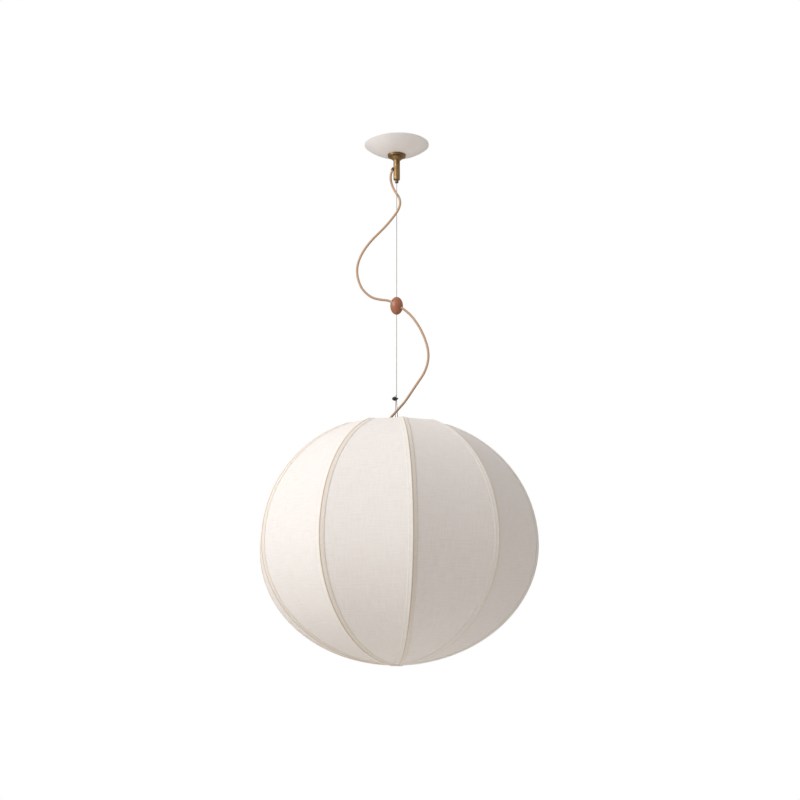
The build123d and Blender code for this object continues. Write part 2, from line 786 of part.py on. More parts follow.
with BuildPart() as hanger_pin:
    with BuildSketch(Plane.XZ.offset(-ear_outer - fit_gap)):
        with Locations((0, pin_z)):
            Circle(pin_radius)
    extrude(amount=2 * (ear_outer + fit_gap))
    for head_start, head_amount in ((ear_outer + fit_gap, 1), (-ear_outer - fit_gap, -1)):
        with BuildSketch(Plane.XZ.offset(head_start)):
            with Locations((0, pin_z)):
                Circle(pin_head_radius)
        extrude(amount=head_amount * pin_head_thickness)
    fillet(hanger_pin.edges().group_by(Axis.Y)[0], pin_head_round)
    fillet(hanger_pin.edges().group_by(Axis.Y)[-1], pin_head_round)
save(hanger_pin.part, "hanger_pin")

with BuildPart() as spider_hub:
    with BuildSketch(Plane.XY.offset(hub_top_z)):
        Circle(hub_radius)
        Circle(nipple_radius + fit_gap, mode=Mode.SUBTRACT)
        with Locations((-gland_offset, 0)):
            Circle(gland_radius + fit_gap, mode=Mode.SUBTRACT)
    extrude(amount=-hub_thickness)
save(spider_hub.part, "spider_hub")

hub_low_z = hub_top_z - hub_thickness
cap_top_z = hub_low_z - fit_gap
cap_end_z = cap_top_z - holder_cap_length
shell_top_z = cap_end_z - fit_gap
shell_end_z = shell_top_z - holder_shell_length
nut_low_z = cap_top_z - holder_wall - fit_gap
nipple_low_z = nut_low_z - nut_thickness - holder_nipple_end

with BuildPart() as holder_nipple:
    with BuildSketch(Plane.XY.offset(holder_nipple_top_z)):
        Circle(nipple_radius)
        Circle(nipple_bore, mode=Mode.SUBTRACT)
    extrude(amount=nipple_low_z - holder_nipple_top_z)
save(holder_nipple.part, "holder_nipple")

with BuildPart() as holder_nuts:
    for nut_z in (yoke_base_z + yoke_sheet + fit_gap + nut_thickness, nut_low_z):
        with BuildSketch(Plane.XY.offset(nut_z)):
            RegularPolygon(nut_across_flats / 2, 6, major_radius=False)
            Circle(nipple_radius + fit_gap, mode=Mode.SUBTRACT)
        extrude(amount=-nut_thickness)
save(holder_nuts.part, "holder_nuts")

with BuildPart() as cord_gland:
    with BuildSketch(Plane.XZ):
        with BuildLine():
            Polyline(
                (gland_bore, cap_top_z + fit_gap),
                (gland_radius, cap_top_z + fit_gap),
                (gland_radius, hub_top_z),
                (gland_top_radius, hub_top_z + gland_height),
                (gland_bore, hub_top_z + gland_height),
                close=True,
            )
        make_face()
    revolve(axis=Axis.Z)
save(cord_gland.part.moved(Location((-gland_offset, 0, 0))), "cord_gland")

with BuildPart() as holder_cap:
    with BuildSketch(Plane.XY.offset(cap_top_z)):
        Circle(holder_radius)
    extrude(amount=-holder_cap_length)
    fillet(holder_cap.edges().group_by(Axis.Z)[-1], holder_round)
    with BuildSketch(Plane.XY.offset(cap_top_z - holder_wall)):
        Circle(holder_radius - holder_wall)
    extrude(amount=-holder_cap_length, mode=Mode.SUBTRACT)
    with BuildSketch(Plane.XY.offset(cap_top_z)):
        Circle(nipple_radius + fit_gap)
        with Locations((-gland_offset, 0)):
            Circle(gland_bore)
    extrude(amount=-holder_wall, mode=Mode.SUBTRACT)
save(holder_cap.part, "holder_cap")

insert_top_z = cap_end_z + insert_thickness
with BuildPart() as holder_insert:
    with BuildSketch(Plane.XY.offset(insert_top_z)):
        Circle(holder_radius - holder_wall - fit_gap)
    extrude(amount=-insert_thickness)
    with BuildSketch(Plane.XY.offset(insert_top_z)):
        with PolarLocations(insert_hole_circle, 2):
            Circle(insert_hole_radius)
    extrude(amount=-insert_thickness / 2, mode=Mode.SUBTRACT)
    with BuildSketch(Plane.XY.offset(cap_end_z)):
        Circle(insert_radius - holder_wall)
    extrude(amount=-insert_step)
save(holder_insert.part, "holder_insert")

contact_outer = bulb_cap_radius + bulb_fit + contact_sheet
with BuildPart() as holder_shell:
    with BuildSketch(Plane.XY.offset(shell_top_z)):
        Circle(holder_radius)
        Circle(insert_radius - holder_wall + fit_gap, mode=Mode.SUBTRACT)
    extrude(amount=-holder_shell_length)
    fillet(holder_shell.edges().group_by(Axis.Z)[0].sort_by(SortBy.RADIUS)[-1], holder_round)
save(holder_shell.part, "holder_shell")

contact_top_z = cap_end_z - insert_step - fit_gap
with BuildPart() as screw_contact:
    with BuildSketch(Plane.XY.offset(contact_top_z)):
        Circle(insert_radius - holder_wall)
        Circle(contact_outer - contact_sheet, mode=Mode.SUBTRACT)
    extrude(amount=-contact_sheet)
    with BuildSketch(Plane.XY.offset(contact_top_z)):
        Circle(contact_outer)
        Circle(contact_outer - contact_sheet, mode=Mode.SUBTRACT)
    extrude(amount=contact_end_gap - bulb_cap_length)
save(screw_contact.part, "screw_contact")

bulb_top_z = contact_top_z - bulb_seat_gap
collar_z = bulb_top_z - bulb_cap_length
with BuildPart() as bulb_cap:
    with BuildSketch(Plane.XZ):
        with BuildLine():
            Polyline(
                (0, bulb_top_z),
                (bulb_pip_radius, bulb_top_z),
                (bulb_shoulder_radius, bulb_top_z - bulb_pip_height),
                (bulb_cap_radius, bulb_top_z - bulb_shoulder_height),
                (bulb_cap_radius, collar_z),
                (0, collar_z),
                close=True,
            )
        make_face()
    revolve(axis=Axis.Z)
save(bulb_cap.part, "bulb_cap")

bulb_end_z = bulb_top_z - bulb_length
bulb_centre = (0, bulb_end_z + bulb_radius)
neck_top = (bulb_cap_radius, collar_z - fit_gap)
neck_turn = math.radians(bulb_neck_angle)
neck_join = (bulb_radius * math.cos(neck_turn), bulb_centre[1] + bulb_radius * math.sin(neck_turn))
with BuildPart() as bulb_glass:
    with BuildSketch(Plane.XZ):
        with BuildLine():
            Line((0, collar_z - fit_gap), neck_top)
            side = Line(neck_top, (neck_top[0] + bulb_neck_flare, neck_top[1] - bulb_neck_length))
            TangentArc(side @ 1, neck_join, tangent=side % 1)
            ThreePointArc(neck_join, (bulb_radius, bulb_centre[1]), (0, bulb_end_z))
            Line((0, bulb_end_z), (0, collar_z - fit_gap))
        make_face()
    revolve(axis=Axis.Z)
save(bulb_glass.part, "bulb_glass")

# --- Textile cord ------------------------------------------------------------------------------

bead_mouth_in = Vector(*bead_cord_centre) - bead_cord_direction * bead_run
bead_mouth_out = Vector(*bead_cord_centre) + bead_cord_direction * bead_run
cord_start = Vector(*cord_exit) - exit_direction * cord_tucked
cord_split = Vector(*clip_pass) * (1 - split_share) + Vector(*loop_pass) * split_share
cord_upper_points = [
    cord_start,
    (-15.5, 0, -70.4),
    (-10.5, 13, -97),
    (14.5, -3, -139),
    (-17, -12, -190),
    (-67, -9, -239),
    (-90, -9, -288),
    (-81.5, -9, -334),
    (-58, -8, -358),
    (-36, -7, -363.5),
    bead_mouth_in,
    bead_cord_centre,
]
cord_lower_points = [
    bead_cord_centre,
    bead_mouth_out,
    (37, -9, -405),
    (57.5, -12, -440),
    (71, -13, -484),
    (64, -12, -523),
    (40, -10, -558),
    clip_pass,
    cord_split,
]
cord_tail_points = [
    cord_split,
    loop_pass,
    (-16.5, -6, -630),
    (-gland_offset, 0, -646.5),
    (-gland_offset, 0, -667),
]


def bend_radii(points):
    """Radius of the arc at each corner: 0.45 of the shorter run over the tangent of half the turn."""
    radii = []
    for before, corner, after in zip(points, points[1:], points[2:]):
        run_in = Vector(*corner) - Vector(*before)
        run_out = Vector(*after) - Vector(*corner)
        half_turn = math.radians(run_in.get_angle(run_out)) / 2
        radii.append(0.45 * min(run_in.length, run_out.length) / math.tan(half_turn))
    return radii


def make_cord(points, name):
    """Sweep one stretch of the cord along straight runs joined by tangent arcs."""
    route = [tuple(Vector(*point)) for point in points]
    radii = bend_radii(route)
    with BuildPart() as cord:
        with BuildLine() as path:
            FilletPolyline(*route, radius=radii)
        cord_wire = path.wires()[0]
        with BuildSketch(Plane(origin=cord_wire @ 0, z_dir=cord_wire % 0)):
            Circle(cord_radius)
        sweep(path=cord_wire)
    save(cord.part, name)
    ideal = math.pi * cord_radius**2 * cord_wire.length
    print(name, "length", round(cord_wire.length, 1), "volume over ideal", round(cord.part.volume / ideal, 4))
    print(name, "bend radii", [round(radius, 1) for radius in radii])
    return cord_wire.length


cord_length = sum(
    [
        make_cord(cord_upper_points, "cord_upper"),
        make_cord(cord_lower_points, "cord_lower"),
        make_cord(cord_tail_points, "cord_tail"),
    ]
)
print("cord length in all", round(cord_length, 1))
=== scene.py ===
"""Globe pendant lamp: the finish of every piece, and its cloth shade, cord and wire round the frame.

Lengths are metres unless a name says mm. +Z is up, the ceiling is at z = 0 and -Y is the front.
"""

import json
import logging
import math
from collections.abc import Callable, Iterator
from contextlib import contextmanager
from dataclasses import dataclass, field
from enum import Enum

import bpy
import numpy as np
from mathutils import Matrix, Vector

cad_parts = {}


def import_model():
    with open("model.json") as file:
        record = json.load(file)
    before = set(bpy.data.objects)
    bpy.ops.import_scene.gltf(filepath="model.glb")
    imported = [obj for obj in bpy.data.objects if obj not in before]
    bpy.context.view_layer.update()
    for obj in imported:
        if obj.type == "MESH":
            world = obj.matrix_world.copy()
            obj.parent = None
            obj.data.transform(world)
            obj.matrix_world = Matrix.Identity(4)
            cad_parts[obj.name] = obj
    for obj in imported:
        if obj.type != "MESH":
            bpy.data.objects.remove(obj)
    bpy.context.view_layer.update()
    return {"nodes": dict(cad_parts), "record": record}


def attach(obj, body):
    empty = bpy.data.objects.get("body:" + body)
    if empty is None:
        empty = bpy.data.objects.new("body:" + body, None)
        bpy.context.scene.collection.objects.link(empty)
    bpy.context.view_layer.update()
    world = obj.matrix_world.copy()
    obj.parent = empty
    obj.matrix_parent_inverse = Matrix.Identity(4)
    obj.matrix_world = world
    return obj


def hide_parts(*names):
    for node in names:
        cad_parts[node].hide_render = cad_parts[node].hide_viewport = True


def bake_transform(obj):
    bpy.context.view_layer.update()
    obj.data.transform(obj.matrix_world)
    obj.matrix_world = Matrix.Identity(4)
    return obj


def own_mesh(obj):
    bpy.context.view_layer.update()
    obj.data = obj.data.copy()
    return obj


MM = 0.001
log = logging.getLogger("pendant")


class Body(str, Enum):
    """The moving bodies of the frame that pieces ride on."""

    GRIPPER = "gripper"
    BEAD = "bead"
    WIRE_END = "wire_end"
    SHADE = "shade"


class Relief(Enum):
    """How the surface of a swept tube stands proud of its core."""

    BRAID = "two families of yarns that cross over and under"
    STRANDS = "strands laid round each other in one direction"


# --- Tools for meshes ----------------------------------------------------------------------------


def deselect_all() -> None:
    """Leave object mode with nothing selected, so that an operator acts on one piece only."""
    if bpy.context.mode != "OBJECT":
        bpy.ops.object.mode_set(mode="OBJECT")
    bpy.ops.object.select_all(action="DESELECT")


def make_active(piece: bpy.types.Object) -> None:
    """Select one object and make it the active one."""
    deselect_all()
    piece.select_set(True)
    bpy.context.view_layer.objects.active = piece


@contextmanager
def editing(piece: bpy.types.Object) -> Iterator[None]:
    """Hold a piece in edit mode with all of its mesh selected."""
    make_active(piece)
    bpy.ops.object.mode_set(mode="EDIT")
    bpy.ops.mesh.select_all(action="SELECT")
    yield
    bpy.ops.object.mode_set(mode="OBJECT")


def apply_modifier(piece: bpy.types.Object, kind: str, **settings: object) -> None:
    """Add a modifier to a piece and apply it.

    Args:
        piece: the object to change.
        kind: Blender's name of the modifier type.
        settings: values for the modifier's own attributes.
    """
    modifier = piece.modifiers.new(kind.lower(), kind)
    for key, value in settings.items():
        setattr(modifier, key, value)
    make_active(piece)
    bpy.ops.object.modifier_apply(modifier=modifier.name)


def smooth(piece: bpy.types.Object, angle_deg: float) -> None:
    """Shade a piece smooth, with sharp edges kept above an angle."""
    make_active(piece)
    bpy.ops.object.shade_smooth_by_angle(angle=math.radians(angle_deg))


def turned_copy(piece: bpy.types.Object, name: str, turn: float) -> bpy.types.Object:
    """Copy a piece with its own mesh and turn the mesh about the lamp's axis.

    Args:
        piece: the object to copy.
        name: the copy's name.
        turn: angle in radians.

    Returns:
        The copy, linked to the scene, its object at the origin.
    """
    made = piece.copy()
    made.data = piece.data.copy()
    made.name = name
    made.data.name = name
    bpy.context.scene.collection.objects.link(made)
    made.data.transform(Matrix.Rotation(turn, 4, "Z"))
    return made


def bent_grid(
    name: str,
    columns: int,
    rows: int,
    place: Callable[[int, int], tuple[Vector, tuple[float, float]]],
) -> bpy.types.Object:
    """Add a flat grid and bend it to a surface, with a UV map in metres of cloth.

    Args:
        name: the piece's name.
        columns: number of vertices across.
        rows: number of vertices along.
        place: gives the point and the UV of the vertex in a column and a row.

    Returns:
        The bent sheet.
    """
    deselect_all()
    bpy.ops.mesh.primitive_grid_add(x_subdivisions=columns - 1, y_subdivisions=rows - 1, size=1)
    piece = bpy.context.active_object
    piece.name = piece.data.name = name
    mesh = piece.data
    cells = [
        (round((v.co.x + 0.5) * (columns - 1)), round((v.co.y + 0.5) * (rows - 1)))
        for v in mesh.vertices
    ]
    placed = [place(column, row) for column, row in cells]
    for vertex, (point, _) in zip(mesh.vertices, placed):
        vertex.co = point
    layer = mesh.uv_layers.active
    for loop in mesh.loops:
        layer.data[loop.index].uv = placed[loop.vertex_index][1]
    mesh.update()
    return piece


# --- Tools for materials -------------------------------------------------------------------------


def linear(hex_colour: str) -> tuple[float, float, float, float]:
    """Turn an sRGB hex colour into linear red, green, blue and full alpha."""
    shares = [int(hex_colour[k : k + 2], 16) / 255 for k in (1, 3, 5)]
    levels = [c / 12.92 if c <= 0.04045 else ((c + 0.055) / 1.055) ** 2.4 for c in shares]
    return (*levels, 1.0)


def feed(node: bpy.types.Node, links: dict) -> None:
    """Link a node's inputs, by name or number, each to a node and one of its outputs."""
    for key, (source, output) in links.items():
        node.id_data.links.new(source.outputs[output], node.inputs[key])


def add_node(
    tree: bpy.types.NodeTree, kind: str, settings: dict | None = None, links: dict | None = None
) -> bpy.types.Node:
    """Add a shader node with its settings and links.

    Args:
        tree: the material's node tree.
        kind: the node's type, without the ShaderNode at its start.
        settings: values by attribute name, or by an input's name or number.
        links: by an input's name or number, the node and the output that feed it.

    Returns:
        The new node.
    """
    node = tree.nodes.new("ShaderNode" + kind)
    for key, value in (settings or {}).items():
        if isinstance(key, str) and hasattr(node, key):
            setattr(node, key, value)
        else:
            node.inputs[key].default_value = value
    feed(node, links or {})
    return node


def start_material(name: str, **sockets: object) -> tuple[bpy.types.Material, bpy.types.Node]:
    """Make an empty node material with one Principled shader.

    Args:
        name: the material's name.
        sockets: uniform values, by the shader's input names with _ for a blank.

    Returns:
        The material and its shader node.
    """
    material = bpy.data.materials.new(name)
    material.use_nodes = True
    tree = material.node_tree
    tree.nodes.clear()
    shader = add_node(tree, "BsdfPrincipled", {k.replace("_", " "): v for k, v in sockets.items()})
    add_node(tree, "OutputMaterial", links={"Surface": (shader, "BSDF")})
    return material, shader


def set_stops(ramp: bpy.types.Node, *stops: tuple[float, str]) -> None:
    """Give a colour ramp its stops, each a position from 0 to 1 and an sRGB hex colour."""
    elements = ramp.color_ramp.elements
    while len(elements) < len(stops):
        elements.new(0.5)
    for element, (position, colour) in zip(elements, stops):
        element.position = position
        element.color = linear(colour)


@dataclass(frozen=True)
class Linen:
    """Flat-woven linen and cotton cloth, laminated so that it holds its shape.

    It gives the eye a matt, warm white with fine crossed threads and slightly darker slubs.
    """

    name: str
    light: str
    shade: str
    thread_mm: float
    bias: bool = False
    # Tints across a tape's fold, which paint shade right of the crest and on the side turned from the
    # light.
    fold_shade_tones: tuple[tuple[float, str], ...] = ()
    slub_mm: tuple[float, float] = (2.2, 34.0)
    relief_mm: float = 0.55
    glow_mm: float = 2.5

    def make(self) -> bpy.types.Material:
        """Build the cloth's material on the piece's own UV map, in metres of cloth."""
        material, shader = start_material(
            self.name,
            Roughness=0.92,
            Sheen_Weight=0.1,
            Sheen_Roughness=0.6,
            Subsurface_Weight=0.45,
            Subsurface_Radius=(1.0, 0.95, 0.9),
            Subsurface_Scale=self.glow_mm * MM,
        )
        shader.inputs["Specular IOR Level"].default_value = 0.25
        tree = material.node_tree
        cloth = add_node(tree, "UVMap", {"uv_map": "UVMap"})
        turned = add_node(
            tree,
            "Mapping",
            {"Rotation": (0, 0, math.radians(45 if self.bias else 0))},
            {"Vector": (cloth, "UV")},
        )
        axes = add_node(tree, "SeparateXYZ", links={"Vector": (turned, "Vector")})
        # Real threads lie 0.6 mm apart; they are drawn coarser so that a thread shows as more than a speck.
        pace = math.pi / (self.thread_mm * MM)
        waves = []
        for axis in ("X", "Y"):
            scaled = add_node(tree, "Math", {"operation": "MULTIPLY", 1: pace}, {0: (axes, axis)})
            waves.append(add_node(tree, "Math", {"operation": "SINE"}, {0: (scaled, "Value")}))
        weave = add_node(
            tree,
            "Math",
            {"operation": "MULTIPLY"},
            {0: (waves[0], "Value"), 1: (waves[1], "Value")},
        )
        # Slubs are thick places in a yarn, about 2 mm wide and 30 mm long, in both directions.
        wide, long = (1 / (size * MM) for size in self.slub_mm)
        slubs = []
        for stretch in ((wide, long, 1), (long, wide, 1)):
            yarn = add_node(tree, "Mapping", {"Scale": stretch}, {"Vector": (turned, "Vector")})
            slub = add_node(
                tree, "TexNoise", {"Scale": 1.0, "Detail": 3.0}, {"Vector": (yarn, "Vector")}
            )
            slubs.append(slub)
        both = add_node(
            tree, "Math", {"operation": "ADD"}, {0: (slubs[0], "Fac"), 1: (slubs[1], "Fac")}
        )
        tone = add_node(tree, "Math", {"operation": "MULTIPLY", 1: 0.5}, {0: (both, "Value")})
        colour = add_node(tree, "ValToRGB", links={"Fac": (tone, "Value")})
        set_stops(colour, (0.36, self.shade), (0.58, self.light))
        last = (colour, "Color")
        # On a tape, the tints across the fold paint shade: a tan line under the crest, part seam, and a
        # darker side turned from the light.
        if self.fold_shade_tones:
            last = self.tone_across(tree, cloth, colour)
        threads = add_node(
            tree, "Math", {"operation": "MULTIPLY_ADD", 1: 0.16, 2: 0.5}, {0: (weave, "Value")}
        )
        height = add_node(
            tree,
            "Math",
            {"operation": "MULTIPLY_ADD", 1: 0.45},
            {0: (tone, "Value"), 2: (threads, "Value")},
        )
        relief = add_node(tree, "Bump", {"Distance": self.relief_mm * MM}, {"Height": (height, "Value")})
        feed(shader, {"Base Color": last, "Normal": (relief, "Normal")})
        return material

    def tone_across(
        self, tree: bpy.types.NodeTree, cloth: bpy.types.Node, colour: bpy.types.Node
    ) -> tuple[bpy.types.Node, int]:
        """Tint the cloth by its place across the strip: a pale fold, a tan line that stands for the seam
        and for painted shade under the crest, and painted shade on the far side.

        Args:
            tree: the material's node tree.
            cloth: the node that gives the UV.
            colour: the node that gives the cloth's own colour.

        Returns:
            The mixing node and the number of its colour output.
        """
        first, last = self.fold_shade_tones[0][0], self.fold_shade_tones[-1][0]
        across = add_node(tree, "SeparateXYZ", links={"Vector": (cloth, "UV")})
        place = add_node(
            tree,
            "MapRange",
            {"From Min": first * MM, "From Max": last * MM},
            {"Value": (across, "X")},
        )
        ramp = add_node(tree, "ValToRGB", links={"Fac": (place, "Result")})
        set_stops(ramp, *(((at - first) / (last - first), tone) for at, tone in self.fold_shade_tones))
        tinted = add_node(
            tree,
            "Mix",
            {"data_type": "RGBA", "blend_type": "MULTIPLY", 0: 1.0},
            {6: (colour, "Color"), 7: (ramp, "Color")},
        )
        return tinted, 2


@dataclass(frozen=True)
class BraidedCotton:
    """Cotton braided over a round two-core cord: a soft, matt tan with a fine diamond pattern, its hollows
    between the yarns painted darker as shade.
    """

    name: str
    light: str
    shade: str
    carriers: int
    pitch_mm: float
    relief_mm: float = 0.15

    def make(self) -> bpy.types.Material:
        """Build the braid on the tube's UV map: turns across, metres along."""
        material, shader = start_material(
            self.name, Roughness=0.85, Sheen_Weight=0.25, Sheen_Roughness=0.5
        )
        shader.inputs["Specular IOR Level"].default_value = 0.3
        tree = material.node_tree
        sleeve = add_node(tree, "UVMap", {"uv_map": "UVMap"})
        axes = add_node(tree, "SeparateXYZ", links={"Vector": (sleeve, "UV")})
        pace = math.tau / (self.pitch_mm * MM)
        rows = add_node(tree, "Math", {"operation": "MULTIPLY", 1: pace}, {0: (axes, "Y")})
        yarns = []
        for sense in (1, -1):
            turn = math.tau * self.carriers * sense
            lean = add_node(
                tree,
                "Math",
                {"operation": "MULTIPLY_ADD", 1: turn},
                {0: (axes, "X"), 2: (rows, "Value")},
            )
            yarns.append(add_node(tree, "Math", {"operation": "SINE"}, {0: (lean, "Value")}))
        over = add_node(
            tree,
            "Math",
            {"operation": "MAXIMUM"},
            {0: (yarns[0], "Value"), 1: (yarns[1], "Value")},
        )
        height = add_node(
            tree, "Math", {"operation": "MULTIPLY_ADD", 1: 0.5, 2: 0.5}, {0: (over, "Value")}
        )
        # The fuzz runs over each length's own box, so its specks are finer than 1.5 mm.
        fuzz = add_node(tree, "TexNoise", {"Scale": 1 / (1.5 * MM), "Detail": 2.0})
        mixed = add_node(
            tree,
            "Math",
            {"operation": "MULTIPLY_ADD", 1: 0.35},
            {0: (fuzz, "Fac"), 2: (height, "Value")},
        )
        # The yarns' tops take the light colour and the hollows between them the shade colour, a painted
        # shade; the fuzz adds uneven tone.
        colour = add_node(tree, "ValToRGB", links={"Fac": (mixed, "Value")})
        set_stops(colour, (0.35, self.shade), (1.0, self.light))
        relief = add_node(tree, "Bump", {"Distance": self.relief_mm * MM}, {"Height": (height, "Value")})
        feed(shader, {"Base Color": (colour, "Color"), "Normal": (relief, "Normal")})
        return material


@dataclass(frozen=True)
class Rosewood:
    """Oiled rosewood turned on a lathe: dark pores and rings along the grain under a low sheen."""

    name: str
    light: str
    dark: str
    ring_mm: float
    centre: tuple[float, float, float]
    pore_mm: tuple[float, float] = (0.5, 6.0)
    pore_depth_mm: float = 0.03

    def make(self) -> bpy.types.Material:
        """Build the wood on Object coordinates, its grain along the bead's axis."""
        material, shader = start_material(
            self.name, Roughness=0.42, Coat_Weight=0.25, Coat_Roughness=0.3
        )
        tree = material.node_tree
        place = add_node(tree, "TexCoord")
        centred = add_node(
            tree,
            "Mapping",
            {"Location": tuple(-c for c in self.centre), "vector_type": "POINT"},
            {"Vector": (place, "Object")},
        )
        rings = add_node(
            tree,
            "TexWave",
            {
                "wave_type": "BANDS",
                "bands_direction": "X",
                "Scale": 0.5 / (self.ring_mm * MM),
                "Distortion": 5.0,
                "Detail": 3.0,
                "Detail Scale": 0.6,
            },
            {"Vector": (centred, "Vector")},
        )
        # Real pores are about 0.2 mm wide; they are drawn coarser, so that they show as short lines.
        wide, long = (1 / (size * MM) for size in self.pore_mm)
        along = add_node(tree, "Mapping", {"Scale": (wide, wide, long)}, {"Vector": (centred, "Vector")})
        pores = add_node(
            tree, "TexNoise", {"Scale": 1.0, "Detail": 4.0}, {"Vector": (along, "Vector")}
        )
        grain = add_node(
            tree,
            "Math",
            {"operation": "MULTIPLY_ADD", 1: 0.45},
            {0: (rings, "Fac"), 2: (pores, "Fac")},
        )
        colour = add_node(tree, "ValToRGB", links={"Fac": (grain, "Value")})
        set_stops(colour, (0.35, self.dark), (0.95, self.light))
        relief = add_node(tree, "Bump", {"Distance": self.pore_depth_mm * MM}, {"Height": (pores, "Fac")})
        feed(shader, {"Base Color": (colour, "Color"), "Normal": (relief, "Normal")})
        return material


@dataclass(frozen=True)
class Metal:
    """A metal surface with slow tarnish and fine tool marks or grit."""

    name: str
    bright: str
    tarnished: str
    roughness: float
    mark_mm: float
    mark_depth_mm: float
    tarnish_mm: float = 9.0
    metallic: float = 1.0
    tarnish_edges: tuple[float, float] = (0.4, 0.62)
    tarnish_dulls: float = 0.16

    def make(self) -> bpy.types.Material:
        """Build the metal on Object coordinates, with roughness that follows the tarnish."""
        material, shader = start_material(self.name, Metallic=self.metallic)
        tree = material.node_tree
        place = add_node(tree, "TexCoord")
        tarnish = add_node(
            tree,
            "TexNoise",
            {"Scale": 1 / (self.tarnish_mm * MM), "Detail": 5.0, "Roughness": 0.6},
            {"Vector": (place, "Object")},
        )
        low, high = self.tarnish_edges
        colour = add_node(tree, "ValToRGB", links={"Fac": (tarnish, "Fac")})
        set_stops(colour, (low, self.tarnished), (high, self.bright))
        rough = add_node(
            tree,
            "MapRange",
            {
                "From Min": low,
                "From Max": high,
                "To Min": min(1.0, self.roughness + self.tarnish_dulls),
                "To Max": self.roughness,
            },
            {"Value": (tarnish, "Fac")},
        )
        # Real tool marks and grit are about 0.1 mm apart; they are drawn coarser, so that they show.
        marks = add_node(
            tree,
            "TexNoise",
            {"Scale": 1 / (self.mark_mm * MM), "Detail": 2.0},
            {"Vector": (place, "Object")},
        )
        relief = add_node(tree, "Bump", {"Distance": self.mark_depth_mm * MM}, {"Height": (marks, "Fac")})
        feed(
            shader,
            {
                "Base Color": (colour, "Color"),
                "Roughness": (rough, "Result"),
                "Normal": (relief, "Normal"),
            },
        )
        return material


@dataclass(frozen=True)
class Coating:
    """Powder coat, moulded plastic or fired enamel: an even colour over a faint orange peel."""

    name: str
    colour: str
    worn: str
    roughness: float
    peel_mm: float
    peel_depth_mm: float
    coat: float = 0.0
    cloud_mm: float = 40.0
    rough_swing: float = 0.05

    def make(self) -> bpy.types.Material:
        """Build the coating on Object coordinates."""
        material, shader = start_material(self.name, Coat_Weight=self.coat, Coat_Roughness=0.25)
        tree = material.node_tree
        place = add_node(tree, "TexCoord")
        cloud = add_node(
            tree,
            "TexNoise",
            {"Scale": 1 / (self.cloud_mm * MM), "Detail": 4.0},
            {"Vector": (place, "Object")},
        )
        colour = add_node(tree, "ValToRGB", links={"Fac": (cloud, "Fac")})
        set_stops(colour, (0.3, self.worn), (0.62, self.colour))
        peel = add_node(
            tree,
            "TexNoise",
            {"Scale": 1 / (self.peel_mm * MM), "Detail": 1.0},
            {"Vector": (place, "Object")},
        )
        rough = add_node(
            tree,
            "MapRange",
            {
                "To Min": self.roughness - self.rough_swing,
                "To Max": self.roughness + self.rough_swing,
            },
            {"Value": (peel, "Fac")},
        )
        relief = add_node(tree, "Bump", {"Distance": self.peel_depth_mm * MM}, {"Height": (peel, "Fac")})
        feed(
            shader,
            {
                "Base Color": (colour, "Color"),
                "Roughness": (rough, "Result"),
                "Normal": (relief, "Normal"),
            },
        )
        return material


@dataclass(frozen=True)
class OpalGlass:
    """Blown opal glass: a smooth white skin that glows softly a little way in."""

    name: str
    colour: str
    cooler: str
    glow_mm: float = 4.0
    layer_mm: float = 25.0

    def make(self) -> bpy.types.Material:
        """Build the glass, its white a little uneven as the opal layer is."""
        material, shader = start_material(
            self.name,
            Roughness=0.18,
            IOR=1.5,
            Subsurface_Weight=0.35,
            Subsurface_Scale=self.glow_mm * MM,
        )
        tree = material.node_tree
        place = add_node(tree, "TexCoord")
        layer = add_node(
            tree,
            "TexNoise",
            {"Scale": 1 / (self.layer_mm * MM), "Detail": 2.0},
            {"Vector": (place, "Object")},
        )
        colour = add_node(tree, "ValToRGB", links={"Fac": (layer, "Fac")})
        set_stops(colour, (0.35, self.cooler), (0.65, self.colour))
        feed(shader, {"Base Color": (colour, "Color")})
        return material


# --- Finishes of this lamp -----------------------------------------------------------------------

BEAD_CENTRE = (0.0, 0.0, -0.375)
BRAID_CARRIERS = 8
BRAID_PITCH_MM = 6.0

# Millimetres from the crest, left to right, and the tint there: the fold stays pale, a tan line just right
# of it stands for the seam and for painted shade under the crest, and the right side is painted a little
# darker as shade on the side turned from the light.
FOLD_SHADE_TONES = (
    (-10.0, "#FFFFFF"),
    (0.5, "#FFFFFF"),
    (1.0, "#E4CFB4"),
    (1.8, "#E4CFB4"),
    (2.6, "#F9F2ED"),
    (10.0, "#FAF5F1"),
)

